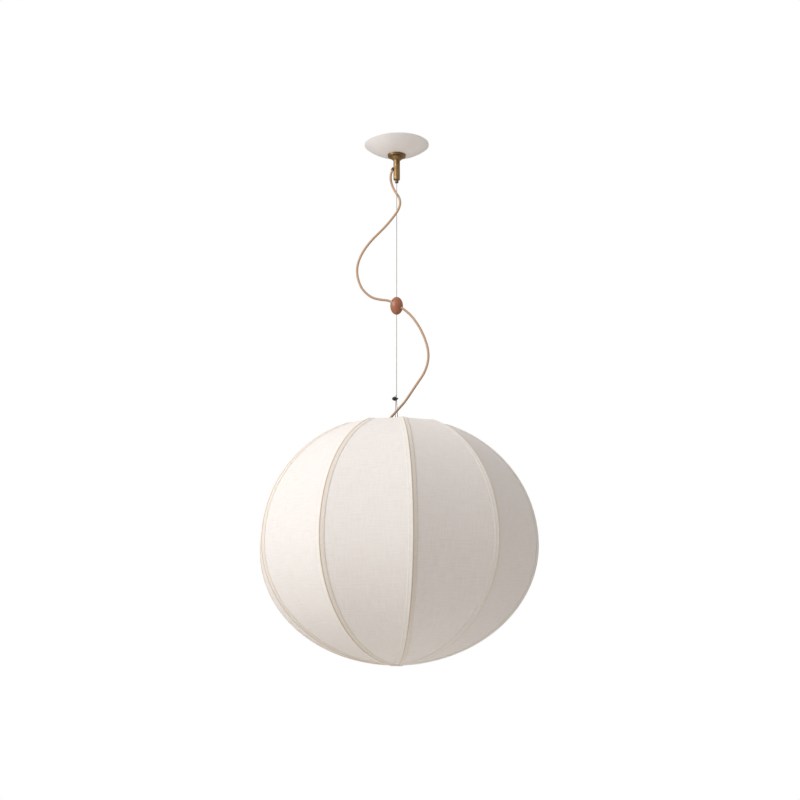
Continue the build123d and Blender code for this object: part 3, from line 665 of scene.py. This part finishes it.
# A coating gives its colour, its worn colour, roughness, the size and depth of its orange peel in
# millimetres and its clear coat. A metal gives its bright and tarnished colours, roughness, and the
# size and depth of its marks.
FINISHES = {
    "white_enamel": Coating("powder_coated_steel", "#F8F4F2", "#F3EEEC", 0.5, 0.6, 0.03, 0.1),
    "rib_steel": Coating("powder_coated_wire", "#EFEBE2", "#E4DFD5", 0.45, 0.5, 0.03, 0.1),
    "holder_plastic": Coating("moulded_urea", "#EAE7DF", "#E2DED4", 0.38, 0.8, 0.02, 0.15),
    "terminal_plastic": Coating("moulded_polyamide", "#E9E4D6", "#DFD9C8", 0.5, 0.6, 0.03),
    "black_nylon": Coating("moulded_brown_nylon", "#4A3728", "#38291D", 0.5, 0.5, 0.04),
    "zinc_steel": Metal("zinc_plated_steel", "#C4C6C7", "#A3A6A8", 0.34, 0.5, 0.02),
    "brass_screw": Metal("turned_brass", "#D4B36A", "#B18F4C", 0.28, 0.3, 0.02),
    "aged_brass": Metal(
        "aged_satin_brass",
        "#AD8E62",
        "#7A6041",
        0.42,
        0.35,
        0.02,
        tarnish_mm=12.0,
        tarnish_edges=(0.3, 0.7),
    ),
    "dark_steel": Metal("blackened_steel", "#5C5A58", "#33312F", 0.4, 0.4, 0.03),
    "hard_steel": Metal("ground_steel", "#B9BABC", "#94969A", 0.22, 0.3, 0.01),
    "nickel": Metal("oxidised_nickel", "#9A8E7C", "#6F6455", 0.4, 0.4, 0.01),
    "contact_brass": Metal("pressed_brass_sheet", "#D9BA72", "#B7964F", 0.25, 0.5, 0.01),
    "bulb_cap_metal": Metal("rolled_aluminium", "#C9CACC", "#AEB0B3", 0.3, 0.5, 0.02),
    "wire_rope": Metal(
        "tinned_wire_rope", "#B8AEA6", "#A69C93", 0.6, 0.3, 0.005, tarnish_mm=12.0, metallic=0.2
    ),
    "rosewood": Rosewood("oiled_rosewood", "#BC7552", "#673521", 2.2, BEAD_CENTRE),
    "opal_glass": OpalGlass("blown_opal_glass", "#F6F3EA", "#EFECE2"),
    "linen": Linen("woven_linen", "#EEE7E2", "#E7DFD9", 1.6),
    "tape_cloth": Linen(
        "bias_cut_linen_tape", "#F5EEE6", "#EEE6DC", 1.4, bias=True, fold_shade_tones=FOLD_SHADE_TONES
    ),
    "textile_cord": BraidedCotton(
        "braided_cotton", "#CEAC8E", "#AD8A6C", BRAID_CARRIERS, BRAID_PITCH_MM
    ),
}


class Workshop:
    """Makes each finish once and puts it on pieces and on the frame's own nodes."""

    def __init__(self, record: dict) -> None:
        """Make every finish, and read from the record which node takes which one."""
        self.materials = {slot: finish.make() for slot, finish in FINISHES.items()}
        self.slot_of = {row["node"]: row["material_slot"] for row in record["subparts"]}

    def dress(self, piece: bpy.types.Object, slot: str) -> None:
        """Give a piece one finish, by the record's slot name."""
        piece.data.materials.clear()
        piece.data.materials.append(self.materials[slot])

    def finish_piece(self, piece: bpy.types.Object, slot: str, *nodes: str) -> None:
        """Dress a new piece, log its slot and hide the nodes that it stands for."""
        self.dress(piece, slot)
        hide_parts(*nodes)
        log.info("%s: %d faces, %s", piece.name, len(piece.data.polygons), slot)

    def dress_nodes(self, nodes: dict[str, bpy.types.Object]) -> None:
        """Dress every node of the frame that still shows."""
        for name, node in nodes.items():
            if not node.hide_render:
                self.dress(node, self.slot_of[name])
                log.info("%s: kept, %s", name, self.slot_of[name])


# --- Studio --------------------------------------------------------------------------------------


@dataclass(frozen=True)
class SoftBox:
    """A square light that faces a target, with its side in metres, power in watts and linear colour."""

    name: str
    place: tuple[float, float, float]
    target: tuple[float, float, float]
    side: float
    power: float
    colour: tuple[float, float, float]

    def stand(self) -> None:
        """Add the light to the scene and aim it."""
        deselect_all()
        aim = (Vector(self.target) - Vector(self.place)).to_track_quat("-Z", "Y").to_euler()
        bpy.ops.object.light_add(type="AREA", location=self.place, rotation=aim)
        lamp = bpy.context.active_object
        lamp.name = self.name
        lamp.data.size = self.side
        lamp.data.energy = self.power
        lamp.data.color = self.colour


@dataclass
class Studio:
    """A plain pale floor, soft light from the upper left and the camera."""

    floor_z: float = -2.4
    floor_size: float = 12.0
    camera_place: tuple[float, float, float] = (0.0, -3.0, -1.218)
    camera_rise_deg: float = 11.9
    camera_turn_deg: float = -0.141
    lens_mm: float = 63.9
    sensor_mm: float = 36.0
    key: SoftBox = SoftBox(
        "key", (-3.4, -2.2, 1.1), (0.0, 0.0, -0.75), 2.6, 134.0, (0.97, 0.985, 1.0)
    )
    fill: SoftBox = SoftBox("fill", (-1.2, -3.6, -1.6), (0.0, 0.0, -0.6), 2.2, 6.0, (1.0, 1.0, 1.0))
    sky_colour: tuple[float, float, float, float] = (1.0, 0.96, 0.925, 1.0)
    sky_low: float = 0.16
    sky_high: float = 0.74
    sky_span: tuple[float, float] = (-0.4, 0.6)

    def build(self) -> None:
        """Make the camera, the lights, the sky and the floor."""
        self.place_camera()
        self.key.stand()
        self.fill.stand()
        self.make_sky()
        self.lay_floor()
        bpy.context.scene.view_settings.view_transform = "Standard"

    def place_camera(self) -> None:
        """Stand the camera in front of the lamp, looking up at it."""
        deselect_all()
        turn = (math.radians(90 + self.camera_rise_deg), 0.0, math.radians(self.camera_turn_deg))
        bpy.ops.object.camera_add(location=self.camera_place, rotation=turn)
        camera = bpy.context.active_object
        camera.name = "camera"
        camera.data.lens = self.lens_mm
        camera.data.sensor_width = self.sensor_mm
        bpy.context.scene.camera = camera

    def make_sky(self) -> None:
        """Make a surround that shows as white and lights the lamp softly, most of all from above."""
        world = bpy.data.worlds.new("studio_surround")
        world.use_nodes = True
        bpy.context.scene.world = world
        tree = world.node_tree
        tree.nodes.clear()
        seen = add_node(tree, "LightPath")
        white = add_node(tree, "Background", {"Color": (1, 1, 1, 1), "Strength": 1.0})
        look = add_node(tree, "TexCoord")
        up = add_node(tree, "SeparateXYZ", links={"Vector": (look, "Generated")})
        level = add_node(
            tree,
            "MapRange",
            {
                "From Min": self.sky_span[0],
                "From Max": self.sky_span[1],
                "To Min": self.sky_low,
                "To Max": self.sky_high,
            },
            {"Value": (up, "Z")},
        )
        soft = add_node(
            tree, "Background", {"Color": self.sky_colour}, {"Strength": (level, "Result")}
        )
        mixed = add_node(
            tree,
            "MixShader",
            links={
                0: (seen, "Is Camera Ray"),
                1: (soft, "Background"),
                2: (white, "Background"),
            },
        )
        add_node(tree, "OutputWorld", links={"Surface": (mixed, "Shader")})

    def lay_floor(self) -> None:
        """Lay a pale floor under the lamp."""
        deselect_all()
        bpy.ops.mesh.primitive_plane_add(size=self.floor_size, location=(0, 0, self.floor_z))
        floor = bpy.context.active_object
        floor.name = "studio_floor"
        bpy.ops.object.transform_apply(location=True)
        paint = Coating("matt_white_floor", "#E3E1DD", "#E0DDD9", 0.8, 3.0, 0.02)
        floor.data.materials.append(paint.make())


# --- Cord and wire -------------------------------------------------------------------------------


def spline_points(name: str, route: list[tuple[float, float, float]], steps: int) -> list[Vector]:
    """Read points from a smooth NURBS spline that has a route's points as its control points.

    Args:
        name: the name for the spline while it is read.
        route: the control points, in metres.
        steps: points read from each span.

    Returns:
        Points along the spline.
    """
    curve = bpy.data.curves.new(name, "CURVE")
    curve.dimensions = "3D"
    spline = curve.splines.new("NURBS")
    spline.points.add(len(route) - 1)
    for control, point in zip(spline.points, route):
        control.co = (*point, 1.0)
    spline.order_u = 3
    spline.use_endpoint_u = True
    curve.resolution_u = steps
    holder = bpy.data.objects.new(name, curve)
    bpy.context.scene.collection.objects.link(holder)
    bpy.context.view_layer.update()
    mesh = bpy.data.meshes.new_from_object(holder)
    points = [v.co.copy() for v in mesh.vertices]
    bpy.data.objects.remove(holder)
    bpy.data.meshes.remove(mesh)
    return points


def evenly_spaced(points: list[Vector], step: float) -> list[Vector]:
    """Space points evenly along the line through them, its ends kept."""
    line = np.array(points)
    along = np.concatenate([[0], np.cumsum(np.linalg.norm(np.diff(line, axis=0), axis=1))])
    marks = np.linspace(0, along[-1], max(2, round(along[-1] / step)))
    spaced = np.stack([np.interp(marks, along, line[:, k]) for k in range(3)], axis=1)
    return [Vector(point) for point in spaced]


@dataclass
class Tube:
    """A round tube along a line, with yarns or strands standing proud of it."""

    radius: float
    sides: int
    relief: Relief
    carriers: int
    pitch: float
    depth: float

    def height(self, turn: np.ndarray, along: float) -> np.ndarray:
        """Height of the relief, 0 to 1, round one ring.

        Args:
            turn: places round the ring, in turns.
            along: the ring's distance along the line.

        Returns:
            The height at each place.
        """
        lean = along / self.pitch
        one = np.sin(math.tau * (self.carriers * turn + lean))
        if self.relief is Relief.STRANDS:
            return 0.5 + 0.5 * one
        other = np.sin(math.tau * (self.carriers * turn - lean))
        return 0.5 + 0.5 * np.maximum(one, other)

    def sweep(
        self, name: str, points: list[Vector], start: float, side: Vector
    ) -> tuple[bpy.types.Object, Vector]:
        """Sweep the tube along points.

        Args:
            name: the piece's name.
            points: the line's points, evenly spaced.
            start: distance along the whole line at which these points begin.
            side: a direction across the first point's run, from which turns are counted.

        Returns:
            The tube, and the side direction at its last point.
        """
        turns = np.arange(self.sides) / self.sides
        verts, alongs, along = [], [], start
        heading = (points[1] - points[0]).normalized()
        side = (side - heading * side.dot(heading)).normalized()
        for k, point in enumerate(points):
            before, after = points[max(k - 1, 0)], points[min(k + 1, len(points) - 1)]
            ahead = (after - before).normalized()
            side = heading.rotation_difference(ahead) @ side
            side = (side - ahead * side.dot(ahead)).normalized()
            heading = ahead
            across = ahead.cross(side)
            if k:
                along += (point - points[k - 1]).length
            reach = self.radius - self.depth + self.depth * self.height(turns, along)
            for turn, r in zip(turns, reach):
                angle = math.tau * turn
                verts.append(point + (side * math.cos(angle) + across * math.sin(angle)) * float(r))
            alongs.append(along)
        rings, n = len(points), self.sides
        faces = [
            (k * n + i, k * n + (i + 1) % n, (k + 1) * n + (i + 1) % n, (k + 1) * n + i)
            for k in range(rings - 1)
            for i in range(n)
        ]
        faces += [tuple(reversed(range(n))), tuple(range((rings - 1) * n, rings * n))]
        mesh = bpy.data.meshes.new(name)
        mesh.from_pydata(verts, [], faces)
        layer = mesh.uv_layers.new(name="UVMap")
        for face in mesh.polygons:
            wraps = face.index % n == n - 1
            for index in face.loop_indices:
                ring, i = divmod(mesh.loops[index].vertex_index, n)
                layer.data[index].uv = (1.0 if wraps and i == 0 else i / n, alongs[ring])
        mesh.validate()
        tube = bpy.data.objects.new(name, mesh)
        bpy.context.scene.collection.objects.link(tube)
        smooth(tube, angle_deg=60)
        return tube, side


@dataclass
class TextileCord:
    """The braided cord: out of the stem's side, through the bead, past the clip and into the shade."""

    workshop: Workshop
    diameter: float = 0.0054
    step: float = 0.0009
    sides: int = 32
    relief_mm: float = 0.09
    upper: list = field(
        default_factory=lambda: [
            (-0.0075, 0.0, -0.05654),
            (-0.0155, 0.0, -0.0704),
            (-0.0105, 0.013, -0.097),
            (0.0145, -0.003, -0.139),
            (-0.017, -0.012, -0.190),
            (-0.067, -0.009, -0.239),
            (-0.090, -0.009, -0.288),
            (-0.0815, -0.009, -0.334),
            (-0.058, -0.008, -0.358),
            (-0.036, -0.007, -0.3635),
            (-0.01714, -0.007, -0.3647),
            (0.0, -0.007, -0.375),
        ]
    )
    lower: list = field(
        default_factory=lambda: [
            (0.01714, -0.007, -0.3853),
            (0.037, -0.009, -0.405),
            (0.0575, -0.012, -0.440),
            (0.071, -0.013, -0.484),
            (0.064, -0.012, -0.523),
            (0.040, -0.010, -0.558),
            (0.0185, -0.0085, -0.591),
            (0.006675, -0.0085, -0.60431),
        ]
    )
    tail: list = field(
        default_factory=lambda: [
            (-0.003, -0.0085, -0.6152),
            (-0.0165, -0.006, -0.630),
            (-0.014, 0.0, -0.6465),
            (-0.014, 0.0, -0.667),
        ]
    )

    def build(self) -> None:
        """Sweep the cord as one line in three lengths, which meet in the bead and at the clip."""
        route = spline_points("cord_route", self.upper + self.lower + self.tail, steps=40)
        line = evenly_spaced(route, self.step)
        tube = Tube(
            self.diameter / 2,
            self.sides,
            Relief.BRAID,
            BRAID_CARRIERS,
            BRAID_PITCH_MM * MM,
            self.relief_mm * MM,
        )
        ends = [0, self.nearest(line, self.upper[-1]), self.nearest(line, self.lower[-1]), len(line) - 1]
        side, start = Vector((0, -1, 0)), 0.0
        names = ("cord_above_bead", "cord_below_bead", "cord_into_shade")
        nodes = ("cord_upper", "cord_lower", "cord_tail")
        # Each length is listed with the body above the first height and the body below the second; these
        # are unpacked but not used.
        bends = (
            (Body.GRIPPER, Body.BEAD, -0.085, -0.350),
            (Body.BEAD, Body.WIRE_END, -0.398, -0.585),
            (Body.WIRE_END, Body.SHADE, -0.606, -0.640),
        )
        for name, node, first, last, bend in zip(names, nodes, ends, ends[1:], bends):
            run = line[first : last + 1]
            piece, side = tube.sweep(name, run, start, side)
            length = self.step_length(run)
            start += length
            self.workshop.finish_piece(piece, "textile_cord", node)
            above, below, top, bottom = bend
            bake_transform(piece)
            log.info("%s: %.1f mm long", name, length / MM)

    @staticmethod
    def nearest(line: list[Vector], point: tuple[float, float, float]) -> int:
        """Number of the line's point that is nearest to a point."""
        return min(range(len(line)), key=lambda k: (line[k] - Vector(point)).length)

    @staticmethod
    def step_length(run: list[Vector]) -> float:
        """Length of the line through a run's points."""
        return sum((b - a).length for a, b in zip(run, run[1:]))


@dataclass
class SuspensionWire:
    """The stranded steel wire that carries the shade, with its loop round the hanger's pin."""

    workshop: Workshop
    diameter: float = 0.0015
    step: float = 0.0007
    sides: int = 24
    strands: int = 6
    lay_mm: float = 9.0
    relief_mm: float = 0.02
    loop_radius: float = 0.0033
    pin_z: float = -0.640
    bead_z: float = BEAD_CENTRE[2]
    top_z: float = -0.060
    part_z: float = -0.590
    tail_z: float = -0.575
    tail_offset: float = 0.0016

    def build(self) -> None:
        """Sweep the length above the bead, and the length below it with its loop."""
        tube = Tube(
            self.diameter / 2,
            self.sides,
            Relief.STRANDS,
            self.strands,
            self.lay_mm * MM,
            self.relief_mm * MM,
        )
        ends = [Vector((0, 0, self.top_z)), Vector((0, 0, self.bead_z))]
        above = evenly_spaced(ends, self.step)
        upper, side = tube.sweep("wire_above_bead", above, 0.0, Vector((1, 0, 0)))
        self.workshop.finish_piece(upper, "wire_rope", "wire_upper")
        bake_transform(upper)
        below = evenly_spaced(spline_points("wire_route", self.loop_route(), steps=16), self.step)
        lower, _ = tube.sweep("wire_below_bead", below, self.top_z - self.bead_z, side)
        self.workshop.finish_piece(lower, "wire_rope", "wire_lower")
        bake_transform(lower)

    def loop_route(self) -> list[tuple[float, float, float]]:
        """Control points down from the bead, round the pin and up beside the wire to its tail end."""
        heights = (self.bead_z, -0.44, -0.51, self.part_z + 0.012, self.part_z)
        straight = [(0.0, 0.0, z) for z in heights]
        # A spline touches the middle of each side of its control polygon, so the corners of the
        # octagon round the pin lie outside the loop.
        eighth = math.tau / 8
        corner = self.loop_radius / math.cos(eighth / 2)
        around = [
            (corner * math.cos(turn), 0.0, self.pin_z + corner * math.sin(turn))
            for turn in (eighth * (0.5 - k) for k in range(5))
        ]
        rises = (self.part_z, self.part_z + 0.007, self.tail_z)
        beside = [(-self.tail_offset, 0.0, z) for z in rises]
        return straight + around + beside


# --- Shade ---------------------------------------------------------------------------------------


@dataclass
class FabricShade:
    """Ten gores stretched over the ribs, each seam covered by a folded tape, with a turned-in mouth.

    The seams pull low waves along each edge of a gore, one in each pucker_pitch. They die away over
    pucker_reach, their phase swings by pucker_wander radians once in tau times pucker_drift, and they
    have their whole height where half of the gore is at least pucker_full_width.
    """

    workshop: Workshop
    gores: int = 10
    first_rib_deg: float = -84.0
    radius: float = 0.300
    equator_z: float = -0.903
    upper: float = 0.278
    lower: float = 0.245
    mouth_radius: float = 0.111
    base_radius: float = 0.012
    cloth: float = 0.0008
    hem_roll: float = 0.0014
    hem_drop: float = 0.005
    sag: float = 0.0016
    seam_gap: float = 0.0001
    pucker_height: float = 0.00022
    pucker_reach: float = 0.009
    pucker_pitch: float = 0.023
    pucker_drift: float = 0.05
    pucker_wander: float = 2.2
    pucker_full_width: float = 0.02
    gore_shift: float = 1.37
    tape_half_width: float = 0.010
    tape_face: float = 0.0005
    tape_thickness: float = 0.00045
    tape_shift: float = 0.91
    fold_reach: float = 0.003
    rows: int = 230
    hem_rows: int = 14
    columns: int = 31
    outline_steps: int = 4000
    roll_steps: int = 60
    drop_steps: int = 20

    def __post_init__(self) -> None:
        """Work out the line that every gore and tape follows from foot to hem."""
        self.half = math.pi / self.gores
        self.rho, self.z, self.normals, self.along = self.profile()

    def profile(self) -> tuple[np.ndarray, np.ndarray, np.ndarray, np.ndarray]:
        """Points of the outline in a gore's middle plane, from the foot to the end of the hem.

        Returns:
            Distances from the axis, heights, outward normals and distances along the outline.
        """
        squeeze = math.cos(self.half)
        reach = self.radius * squeeze
        foot = -math.acos(self.base_radius / self.radius)
        mouth = math.acos(self.mouth_radius / self.radius)
        angles = np.linspace(foot, mouth, self.outline_steps)
        heights = np.where(angles < 0, self.lower, self.upper)
        rho, z = reach * np.cos(angles), self.equator_z + heights * np.sin(angles)
        end = np.array([rho[-1] - rho[-2], z[-1] - z[-2]])
        end /= np.linalg.norm(end)
        inward = np.array([-end[1], end[0]])
        inward = inward if inward[1] < 0 else -inward
        centre = np.array([rho[-1], z[-1]]) + inward * self.hem_roll
        roll = np.linspace(0, math.pi, self.roll_steps)[1:]
        turned = np.outer(-np.cos(roll), inward) + np.outer(np.sin(roll), end)
        rolled = centre + self.hem_roll * turned
        drop = rolled[-1] - np.outer(np.linspace(0, self.hem_drop, self.drop_steps)[1:], end)
        line = np.concatenate([np.stack([rho, z], 1), rolled, drop])
        along = np.concatenate([[0], np.cumsum(np.linalg.norm(np.diff(line, axis=0), axis=1))])
        body_end = along[len(rho) - 1]
        body_marks = np.linspace(0, body_end, self.rows - self.hem_rows)
        hem_marks = np.linspace(body_end, along[-1], self.hem_rows + 1)[1:]
        marks = np.concatenate([body_marks, hem_marks])
        even = np.stack([np.interp(marks, along, line[:, k]) for k in range(2)], 1)
        tangent = np.gradient(even, marks, axis=0)
        tangent /= np.linalg.norm(tangent, axis=1)[:, None]
        return even[:, 0], even[:, 1], np.stack([tangent[:, 1], -tangent[:, 0]], 1), marks

    def build(self) -> None:
        """Make one gore and one tape, and copy them round the lamp."""
        gore = self.make_gore()
        tape = self.make_tape()
        for k in range(self.gores):
            rib = math.radians(self.first_rib_deg) + 2 * self.half * k
            cloth = turned_copy(gore, f"gore_{k + 1:02d}", rib + self.half)
            self.shift_cloth(cloth, self.gore_shift * (k + 1))
            self.workshop.finish_piece(cloth, "linen", f"panel_{k + 1:02d}")
            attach(cloth, Body.SHADE.value)
            strip = turned_copy(tape, f"seam_tape_{k + 1:02d}", rib)
            self.shift_cloth(strip, self.tape_shift * (k + 1))
            self.workshop.finish_piece(strip, "tape_cloth", "rib_tapes")
            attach(strip, Body.SHADE.value)
        for start in (gore, tape):
            bpy.data.objects.remove(start)

    @staticmethod
    def shift_cloth(piece: bpy.types.Object, shift: float) -> None:
        """Cut each piece from another place along the cloth, so that no two have the same slubs."""
        layer = piece.data.uv_layers.active
        for loop in layer.data:
            loop.uv = (loop.uv[0], loop.uv[1] + shift)

    def make_gore(self) -> bpy.types.Object:
        """Make the gore whose middle lies along +X."""

        def place(column: int, row: int) -> tuple[Vector, tuple[float, float]]:
            """Point and UV of one vertex of the gore, sagging between its ribs and puckered at them."""
            across = 2 * column / (self.columns - 1) - 1
            rho, z = self.rho[row], self.z[row]
            half_width = rho * math.tan(self.half) - self.seam_gap
            share = half_width / (self.radius * math.sin(self.half))
            height = -self.sag * share * (1 - across**2)
            edge = math.exp(-(1 - abs(across)) * half_width / self.pucker_reach)
            wander = self.pucker_wander * math.sin(self.along[row] / self.pucker_drift)
            pull = math.sin(math.tau * self.along[row] / self.pucker_pitch + wander)
            fade = min(1.0, half_width / self.pucker_full_width)
            height += self.pucker_height * edge * pull * fade
            n_rho, n_z = self.normals[row]
            point = Vector((rho + height * n_rho, across * half_width, z + height * n_z))
            return point, (across * half_width, self.along[row])

        gore = bent_grid("gore", self.columns, self.rows, place)
        self.face_out(gore)
        apply_modifier(gore, "SOLIDIFY", thickness=self.cloth, offset=-1.0, use_even_offset=False)
        smooth(gore, angle_deg=50)
        return gore

    def face_out(self, piece: bpy.types.Object) -> None:
        """Turn a sheet's faces away from the lamp's axis."""
        middle = max(piece.data.polygons, key=lambda face: face.center.x)
        if middle.normal.x < 0:
            with editing(piece):
                bpy.ops.mesh.flip_normals()

    def tape_section(self) -> list[tuple[float, float]]:
        """Distance from the crest and height over the gore, across the tape from left to right.

        The tape is folded over the crest, its seam lies just right of the fold, and its edges are
        pressed down on the cloth.
        """
        w, t = self.tape_half_width, self.tape_face
        return [
            (-0.86 * w, 0.15 * MM),
            (-0.84 * w, 0.8 * t),
            (-0.78 * w, t + 0.2 * MM),
            (-0.66 * w, t + 0.1 * MM),
            (-0.5 * w, t + 0.05 * MM),
            (-0.32 * w, t + 0.15 * MM),
            (-1.9 * MM, t + 0.5 * MM),
            (-1.0 * MM, t + 0.75 * MM),
            (-0.2 * MM, t + 0.85 * MM),
            (0.5 * MM, t + 0.7 * MM),
            (1.1 * MM, t + 0.3 * MM),
            (1.8 * MM, t),
            (2.6 * MM, t),
            (3.4 * MM, t + 0.1 * MM),
            (0.5 * w, t + 0.1 * MM),
            (0.75 * w, t + 0.05 * MM),
            (0.92 * w, t + 0.05 * MM),
            (0.97 * w, 0.7 * t),
            (w, 0.15 * MM),
        ]

    def make_tape(self) -> bpy.types.Object:
        """Make the tape whose crest lies along +X."""
        section = self.tape_section()
        sine, tangent = math.sin(self.half), math.tan(self.half)

        def place(column: int, row: int) -> tuple[Vector, tuple[float, float]]:
            """Point and UV of one vertex of the tape, which lies on both of its gores."""
            offset, height = section[column]
            crest = self.rho[row] / math.cos(self.half)
            room = crest * sine * math.cos(self.half) - self.seam_gap
            offset *= min(1.0, room / self.tape_half_width)
            n_rho, n_z = self.normals[row]
            lean = self.half * max(-1.0, min(1.0, offset / self.fold_reach))
            out = Vector((n_rho * math.cos(lean), n_rho * math.sin(lean), n_z))
            point = Vector((crest - abs(offset) * tangent, offset, self.z[row])) + out * height
            return point, (offset / math.cos(self.half), self.along[row])

        tape = bent_grid("tape", len(section), self.rows, place)
        self.face_out(tape)
        thickness = self.tape_thickness
        apply_modifier(tape, "SOLIDIFY", thickness=thickness, offset=-1.0, use_even_offset=False)
        smooth(tape, angle_deg=40)
        return tape


# --- Main ----------------------------------------------------------------------------------------


def press_spring(spring: bpy.types.Object) -> None:
    """Give the gripper's spring a mesh of its own."""
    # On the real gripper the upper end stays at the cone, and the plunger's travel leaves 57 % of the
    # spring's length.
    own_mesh(spring)


def main() -> None:
    """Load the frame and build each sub-assembly in order."""
    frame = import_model()
    Studio().build()
    workshop = Workshop(frame["record"])
    TextileCord(workshop).build()
    SuspensionWire(workshop).build()
    FabricShade(workshop).build()
    workshop.dress_nodes(frame["nodes"])
    press_spring(frame["nodes"]["gripper_spring"])


if __name__ == "__main__":
    logging.basicConfig(level=logging.INFO, format="%(message)s")
    main()
